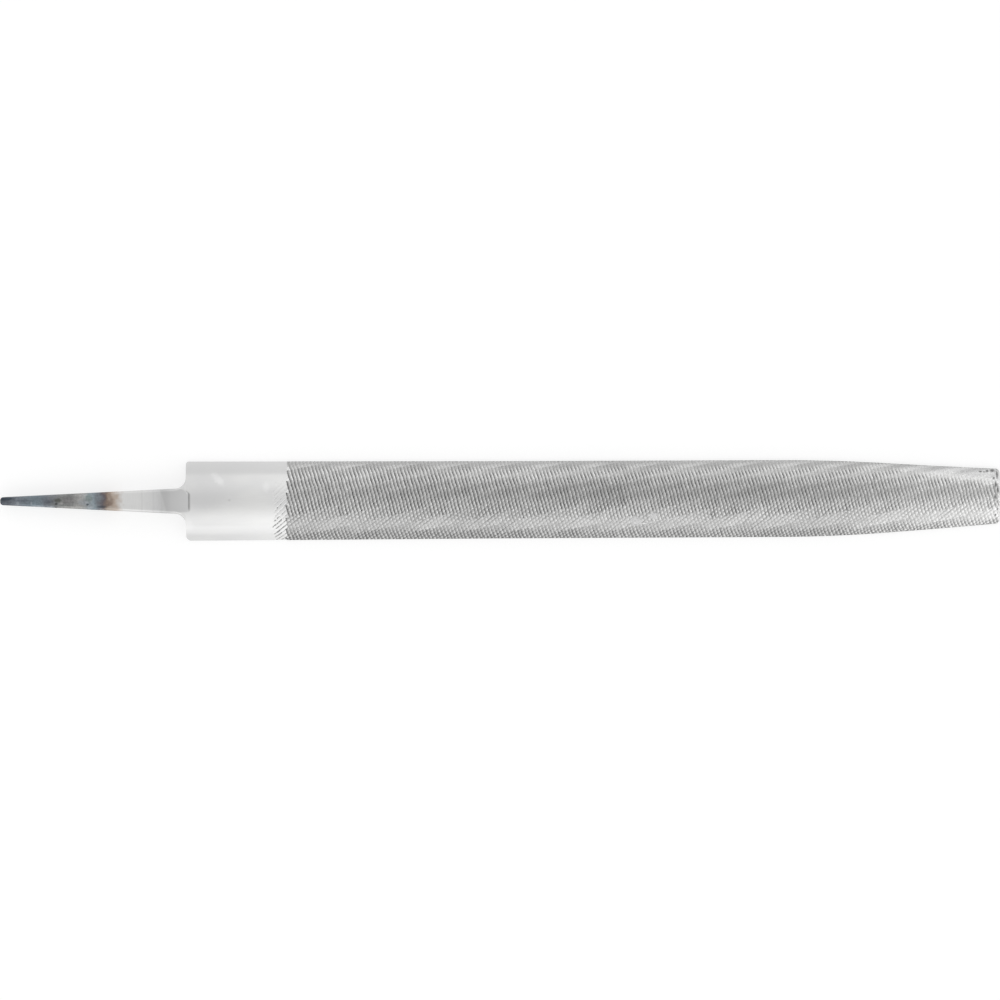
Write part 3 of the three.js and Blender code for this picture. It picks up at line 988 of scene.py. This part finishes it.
# Colours of the teeth by depth, which are painted shade deep in the cut and painted highlights on the
# edges of the teeth, and how far smooth steel and the painted shade and painted light copies differ
# from them
DEPTH_SHADE_AND_HIGHLIGHT_COLOURS = (
    (0, tone(250, 250, 249)),
    (0.12, tone(226, 226, 225)),
    (0.4, tone(198, 198, 197)),
    (1, grey(128)),
)
SMOOTH_GREY = grey(196)
SMOOTH_STRENGTH = 0.6
PAINTED_SHADE_LOSS = 0.25
PAINTED_LIGHT_GAIN = 0.4

# The facet's colours along its length, and the colours of the heel
FACET_COLOURS = ((0, grey(196)), (0.25, grey(206)), (1, grey(214)))
HEEL_COLOURS = ((0.35, grey(225)), (0.65, tone(231, 231, 230)))

# Along the heel's edges: painted shade in a band along the upper edge by its start, end and strength,
# and a painted highlight in a stripe along the lower edge by its middle, half width and strength
UPPER_EDGE_PAINTED_SHADE = (7.5 * MM, 9 * MM, 0.6)
UPPER_EDGE_PAINTED_SHADE_GREY = grey(208)
LOWER_EDGE_PAINTED_HIGHLIGHT = (-8.9 * MM, 1.9 * MM, 0.5)
LOWER_EDGE_PAINTED_HIGHLIGHT_GREY = grey(240)

# Painted shade in the grooves of the first cuts in the heel by their depth, and the painted shade
# along the step
GROOVE_SHADE_SHARES = (0.15, 0.7)
GROOVE_SHADE_GREY = grey(140)
STEP_SHADE_GREY = grey(150)

# On the tang: how far the heat colours waver, where the scale ends, and the faint grinding lines
HEAT_WAVER = 4 * MM
SCALE_END = mm(34, 28)
PATCH_SOFTNESS = 0.45
MARK_SOFTNESS = 0.7
GRIND_LINES = mm(43.6, 47.2, 49.6)
GRIND_LINE_HALF = 0.45 * MM
GRIND_LINE_STRENGTH = 0.16
GRIND_LINE_GREY = grey(190)
# How much painted shade the tang's rounded edges get
TANG_EDGE_PAINTED_SHADE = 0.1
STRIPE_CORE_SHARE = 0.3


class Tree:
    """The nodes of a material or of the world, with short ways to add to them."""

    def __init__(self, owner):
        self.owner = owner
        owner.use_nodes = True
        self.nodes = owner.node_tree.nodes
        self.links = owner.node_tree.links

    def feed(self, socket, value):
        """Links a socket to the output of another node, or gives it a plain value."""
        if isinstance(value, bpy.types.NodeSocket):
            self.links.new(value, socket)
        else:
            socket.default_value = value

    def fill(self, node, inputs):
        """Feeds the inputs of a node, by name or number."""
        for name, value in inputs.items():
            self.feed(node.inputs[name], value)
        return node

    def add(self, kind, inputs):
        return self.fill(self.nodes.new(kind), inputs)

    def math(self, operation, *values):
        node = self.nodes.new("ShaderNodeMath")
        node.operation = operation
        for socket, value in zip(node.inputs, values):
            self.feed(socket, value)
        return node.outputs["Value"]


class Steel(Tree):
    """A metal material, with short ways to add the nodes that colour it."""

    def __init__(self, name):
        super().__init__(bpy.data.materials.new(name))
        self.shader = self.fill(self.nodes["Principled BSDF"], {"Metallic": 1})
        self.place = self.nodes.new("ShaderNodeTexCoord").outputs["Object"]
        self.wander = self.math("MULTIPLY_ADD", self.noise(*WANDER_NOISE), WANDER, -WANDER / 2)

    def noise(self, size, detail, stretch=(1, 1, 1)):
        """A noise with features of one size, longer along the axes where stretch is above 1."""
        scale = [1 / share for share in stretch]
        mapping = self.add("ShaderNodeMapping", {"Vector": self.place, "Scale": scale})
        inputs = {"Vector": mapping.outputs["Vector"], "Scale": 1 / size, "Detail": detail}
        return self.add("ShaderNodeTexNoise", inputs).outputs["Fac"]

    def ramp(self, factor, stops):
        node = self.add("ShaderNodeValToRGB", {"Fac": factor})
        elements = node.color_ramp.elements
        while len(elements) < len(stops):
            elements.new(1)
        for element, (share, colour) in zip(elements, stops):
            element.position = share
            element.color = colour
        return node.outputs["Color"]

    def band(self, value, low, high, top=1.0):
        """A share that rises smoothly from 0 to its top between two values."""
        inputs = {"Value": value, "From Min": low, "From Max": high, "To Max": top}
        node = self.add("ShaderNodeMapRange", inputs)
        node.interpolation_type = "SMOOTHSTEP"
        return node.outputs["Result"]

    def stripe(self, value, middle, half, top=1.0):
        """A share that is at its top near a middle value and falls to 0 on both sides."""
        reach = self.math("ABSOLUTE", self.math("SUBTRACT", value, middle))
        return self.band(reach, half, STRIPE_CORE_SHARE * half, top)

    def axis(self, name):
        return self.add("ShaderNodeSeparateXYZ", {"Vector": self.place}).outputs[name]

    def spot(self, centre, size, strength, turn=0.0, softness=MARK_SOFTNESS):
        """A share that has its strength inside a ragged ellipse and fades at its edge."""
        ellipse = {"Location": (*centre, 0), "Rotation": (0, 0, turn), "Scale": (*size, 1)}
        mapping = self.add("ShaderNodeMapping", {"Vector": self.place, **ellipse})
        mapping.vector_type = "TEXTURE"
        length = self.add("ShaderNodeVectorMath", {0: mapping.outputs["Vector"]})
        length.operation = "LENGTH"
        reach = self.math("ADD", length.outputs["Value"], self.wander)
        return self.band(reach, 1 + softness, 1 - softness, strength)

    def attribute(self, name):
        node = self.nodes.new("ShaderNodeAttribute")
        node.attribute_name = name
        return node.outputs["Fac"]

    def mix(self, factor, first, second, blend="MIX"):
        node = self.nodes.new("ShaderNodeMix")
        node.data_type = "RGBA"
        node.blend_type = blend
        node.clamp_result = True
        colours = [socket for socket in node.inputs if socket.type == "RGBA"]
        for socket, value in zip((node.inputs[0], *colours), (factor, first, second)):
            self.feed(socket, value)
        return [socket for socket in node.outputs if socket.type == "RGBA"][0]

    def darkened(self, colour, loss):
        return self.mix(1.0, colour, darker(loss), "MULTIPLY")

    def shaded(self, colour, factor, stops):
        """A colour made darker by a ramp, whose stops hold a share and how much darker it gets."""
        greys = self.ramp(factor, [(share, darker(loss)) for share, loss in stops])
        return self.mix(1.0, colour, greys, "MULTIPLY")

    def bump(self, height, depth, strength):
        inputs = {"Height": height, "Distance": depth, "Strength": strength}
        node = self.add("ShaderNodeBump", inputs)
        self.feed(self.shader.inputs["Normal"], node.outputs["Normal"])

    def finish(self, colour, roughness, grain):
        """Connects the colour, and a roughness that varies with the grain."""
        low, high = roughness
        node = self.add("ShaderNodeMapRange", {"Value": grain, "To Min": low, "To Max": high})
        self.fill(self.shader, {"Base Color": colour, "Roughness": node.outputs["Result"]})
        return self.owner


def facet_colour(steel):
    along = steel.band(steel.axis("X"), SHOULDER_X - FACET_LENGTH, SHOULDER_X + FACET_REACH)
    return steel.ramp(along, FACET_COLOURS)


def toothed_steel():
    """Matt steel with painted shade deep in the cut and painted highlights on the edges of the teeth,
    and bands of painted light and shade across the round side.
    """
    steel = Steel("toothed_steel")
    grain = steel.noise(*TOOTH_GRAIN_NOISE)
    colour = steel.ramp(steel.attribute("depth_share"), DEPTH_SHADE_AND_HIGHLIGHT_COLOURS)
    smooth = steel.math("MULTIPLY", steel.attribute("smooth"), SMOOTH_STRENGTH)
    colour = steel.mix(smooth, colour, SMOOTH_GREY)
    # A painted-shade copy and a painted-light copy of the colour, mixed by the painted light
    painted_shade = steel.darkened(colour, PAINTED_SHADE_LOSS)
    painted_lit = steel.darkened(colour, -PAINTED_LIGHT_GAIN)
    colour = steel.mix(steel.attribute("shine"), painted_shade, painted_lit)
    colour = steel.shaded(colour, steel.noise(*TOOTH_CLOUD_NOISE), TOOTH_CLOUDS)
    colour = steel.shaded(colour, grain, TOOTH_SPECKS)
    # Painted shade along the rounded end and its upper corner
    for centre, size in END_PAINTED_SHADE:
        colour = steel.mix(steel.spot(centre, size, END_PAINTED_SHADE_STRENGTH), colour, END_PAINTED_SHADE_GREY)
    steel.bump(grain, *TOOTH_RELIEF)
    return steel.finish(colour, TOOTH_ROUGHNESS, grain)


def ground_steel():
    """Bright satin steel with fine grinding lines, a few marks and the grooves of the first cuts,
    with painted shade in those grooves, along the step and along the upper edge, and painted
    highlights along the lower edge and in the pale marks.
    """
    steel = Steel("ground_steel")
    grain = steel.noise(*HEEL_GRAIN_NOISE)
    clouds = steel.noise(*HEEL_CLOUD_NOISE)
    colour = steel.shaded(steel.ramp(clouds, HEEL_COLOURS), grain, HEEL_LINES)
    colour = steel.shaded(colour, steel.band(steel.axis("X"), SHOULDER_X, CUT_X), HEEL_LIFT)
    side = steel.axis("Y")
    # Painted shade along the upper edge and a painted highlight along the lower edge
    colour = steel.mix(steel.band(side, *UPPER_EDGE_PAINTED_SHADE), colour, UPPER_EDGE_PAINTED_SHADE_GREY)
    colour = steel.mix(steel.stripe(side, *LOWER_EDGE_PAINTED_HIGHLIGHT), colour, LOWER_EDGE_PAINTED_HIGHLIGHT_GREY)
    # Marks, with painted highlights in the pale ones
    for centre, size, turn, strength, mark_or_highlight in HEEL_MARKS_AND_HIGHLIGHTS:
        colour = steel.mix(steel.spot(centre, size, strength, turn), colour, mark_or_highlight)
    # Painted shade in the grooves, by their depth
    groove_shade = steel.band(steel.attribute("depth_share"), *GROOVE_SHADE_SHARES)
    colour = steel.mix(groove_shade, colour, GROOVE_SHADE_GREY)
    colour = steel.mix(steel.attribute("facet"), colour, facet_colour(steel))
    # Painted shade along the step
    colour = steel.mix(steel.attribute("step"), colour, STEP_SHADE_GREY)
    steel.bump(grain, *HEEL_RELIEF)
    return steel.finish(colour, HEEL_ROUGHNESS, grain)


def tang_steel():
    """Forged steel with heat colours and patches of scale, bright near the shoulder, with painted
    shade on its rounded edges and on its shoulder fillets.
    """
    steel = Steel("tang_steel")
    scale = steel.noise(*TANG_SCALE_NOISE)
    streaks = steel.noise(*TANG_STREAK_NOISE)
    waver = steel.math("MULTIPLY_ADD", scale, HEAT_WAVER, -HEAT_WAVER / 2)
    along = steel.math("SUBTRACT", steel.math("ADD", steel.axis("X"), waver), TIP_X)
    colour = steel.ramp(steel.math("DIVIDE", along, TANG_LENGTH), HEAT_COLOURS)
    # Patches of scale, and painted shade on the shoulder fillets
    for centre, size, strength, patch in TANG_SCALE_AND_FILLET_SHADE:
        spot = steel.spot(centre, size, strength, softness=PATCH_SOFTNESS)
        colour = steel.mix(spot, colour, patch)
    scaled = steel.band(steel.axis("X"), TIP_X + SCALE_END[0], TIP_X + SCALE_END[1])
    flecks = steel.noise(*TANG_FLECK_NOISE)
    for texture, stops in ((streaks, TANG_MOTTLE), (flecks, TANG_FLECKS)):
        colour = steel.mix(scaled, colour, steel.shaded(colour, texture, stops))
    polish = steel.noise(*TANG_POLISH_NOISE)
    colour = steel.shaded(colour, polish, TANG_POLISH)
    for from_tip in GRIND_LINES:
        place = TIP_X + from_tip
        line = steel.stripe(steel.axis("X"), place, GRIND_LINE_HALF, GRIND_LINE_STRENGTH)
        colour = steel.mix(line, colour, GRIND_LINE_GREY)
    # Painted shade on the rounded edges
    colour = steel.mix(steel.attribute("edge"), colour, steel.darkened(colour, TANG_EDGE_PAINTED_SHADE))
    colour = steel.mix(steel.attribute("facet"), colour, facet_colour(steel))
    steel.bump(scale, *TANG_RELIEF)
    return steel.finish(colour, TANG_ROUGHNESS, streaks)


# Stage: a white room whose ceiling is a little darker, and a long soft box on either side
WALL_LEVEL = 0.9
CEILING_LEVEL = 0.7
CEILING_START = 0.8

# The lamps: place, size and level
KEY = ((0, -0.7, 0.57), (3.0, 0.65), 0.36)
FILL = ((0, 0.65, 0.62), (3.0, 0.4), 0.12)

# The floor
FLOOR_HALF = 12
FLOOR_DROP = 0.05 * MM
FLOOR_COLOUR = (0.4, 0.4, 0.4, 1)
FLOOR_GLOW = (0.64, 0.64, 0.64, 1)
FLOOR_ROUGHNESS = 0.9


def floor_material():
    """A pale floor that takes a soft shadow, lifted to white where it is seen."""
    tree = Tree(bpy.data.materials.new("floor"))
    # 1 for what the camera, the metal and glass see, and 0 for the light on other surfaces
    rays = tree.add("ShaderNodeLightPath", {}).outputs
    seen = tree.math("MAXIMUM", rays["Is Camera Ray"], rays["Is Glossy Ray"])
    seen = tree.math("MAXIMUM", seen, rays["Is Transmission Ray"])
    looks = {
        "Base Color": FLOOR_COLOUR,
        "Roughness": FLOOR_ROUGHNESS,
        "Specular IOR Level": 0,
        "Emission Color": FLOOR_GLOW,
        "Emission Strength": seen,
    }
    tree.fill(tree.nodes["Principled BSDF"], looks)
    return tree.owner


def make_floor():
    signs = ((-1, -1), (1, -1), (1, 1), (-1, 1))
    corners = [(FLOOR_HALF * along, FLOOR_HALF * across, -FLOOR_DROP) for along, across in signs]
    mesh = bpy.data.meshes.new("floor")
    mesh.from_pydata(corners, [], [(0, 1, 2, 3)])
    floor = placed("floor", mesh)
    floor.data.materials.append(floor_material())


def make_lamp(name, place, size, level):
    """A soft box that adds its level of light to what a mirror would show there."""
    data = bpy.data.lights.new(name, "AREA")
    data.shape = "RECTANGLE"
    data.size, data.size_y = size
    data.energy = level * math.pi * size[0] * size[1]
    lamp = placed(name, data)
    lamp.location = place
    lamp.rotation_euler = (-Vector(place)).to_track_quat("-Z", "Y").to_euler()


def make_world():
    world = bpy.data.worlds.new("studio")
    tree = Tree(world)
    direction = tree.nodes.new("ShaderNodeTexCoord").outputs["Generated"]
    height = tree.add("ShaderNodeSeparateXYZ", {"Vector": direction}).outputs["Z"]
    levels = {"From Min": CEILING_START, "To Min": WALL_LEVEL, "To Max": CEILING_LEVEL}
    ceiling = tree.add("ShaderNodeMapRange", {"Value": height, **levels})
    ceiling.interpolation_type = "SMOOTHSTEP"
    light = {"Color": (1, 1, 1, 1), "Strength": ceiling.outputs["Result"]}
    tree.fill(tree.nodes["Background"], light)
    bpy.context.scene.world = world


# Camera: it looks straight down, with the file from edge to edge of the frame
FRAME_PIXELS = 1000
VIEW_WIDTH = END_X - TIP_X
LENS = 400
SENSOR = 36
FOCUS_HEIGHT = 4.2 * MM
ROLL = math.radians(-0.258)
AXIS_ABOVE_MIDDLE = 0.2


def make_camera():
    data = bpy.data.cameras.new("camera")
    data.lens = LENS
    data.sensor_width = SENSOR
    camera = placed("camera", data)
    below_axis = AXIS_ABOVE_MIDDLE * VIEW_WIDTH / FRAME_PIXELS
    distance = VIEW_WIDTH * LENS / SENSOR
    camera.location = (0, -below_axis, FOCUS_HEIGHT + distance)
    camera.rotation_euler = (0, 0, ROLL)
    bpy.context.scene.camera = camera


def make_blade():
    """Two halves for each toothed node, which meet at the base level."""
    steel = toothed_steel()
    halves = (("round", toothed_round, True), ("flat", toothed_flat, False))
    for node, span in (("body", (CUT_X, TAPER_X)), ("point", (TAPER_X, END_X))):
        for side, toothed, facing_up in halves:
            grid = add_walls(*toothed(*span), BASE_Z)
            half = closed_mesh(f"{node}_{side}", *grid, facing_up)
            finish_piece(half, steel, node)


make_blade()
finish_piece(make_heel(), ground_steel(), "heel")
finish_piece(make_tang(), tang_steel(), "tang")
make_floor()
make_world()
make_lamp("key", *KEY)
make_lamp("fill", *FILL)
make_camera()
bpy.context.scene.view_settings.view_transform = "Standard"
